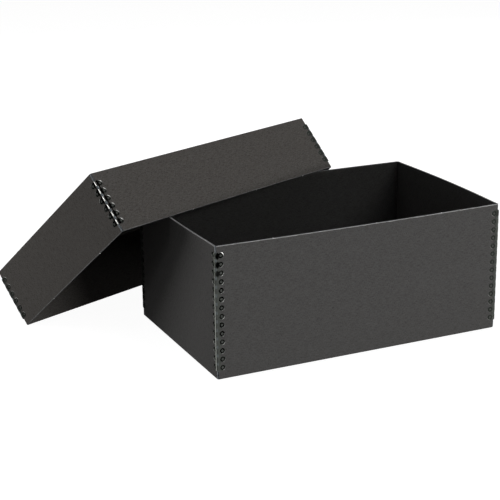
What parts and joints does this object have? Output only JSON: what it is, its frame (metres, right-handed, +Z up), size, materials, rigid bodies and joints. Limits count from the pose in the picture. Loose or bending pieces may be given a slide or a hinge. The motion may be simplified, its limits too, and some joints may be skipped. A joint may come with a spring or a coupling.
{
  "type": "archival storage box",
  "caption": "Lidded storage box of folded black board with pronged metal corner stays; its loose lid leans on the open base",
  "frame": {"origin": "centre of the base's underside", "axes": "+X along the base's long side, to the right seen from the front; -Y the front; +Z up"},
  "size_m": [0.4305, 0.3709, 0.1752],
  "materials": {
    "base_board": "matte black solid board",
    "base_stay": "gloss black enamel",
    "lid_board": "matte black solid board",
    "lid_stay": "gloss black enamel"
  },
  "bodies": {
    "base": {"base_board": "base_board", "base_stay_front_left": "base_stay", "base_stay_front_right": "base_stay", "base_stay_rear_right": "base_stay", "base_stay_rear_left": "base_stay"},
    "lid": {"lid_board": "lid_board", "lid_stay_front_left": "lid_stay", "lid_stay_front_right": "lid_stay", "lid_stay_rear_right": "lid_stay", "lid_stay_rear_left": "lid_stay"}
  },
  "joints": [
    {"name": "lid_lift", "type": "slide", "parent": "base", "child": "lid", "axis": [0, 0, 1], "range_m": [0, 0.15]}
  ]
}
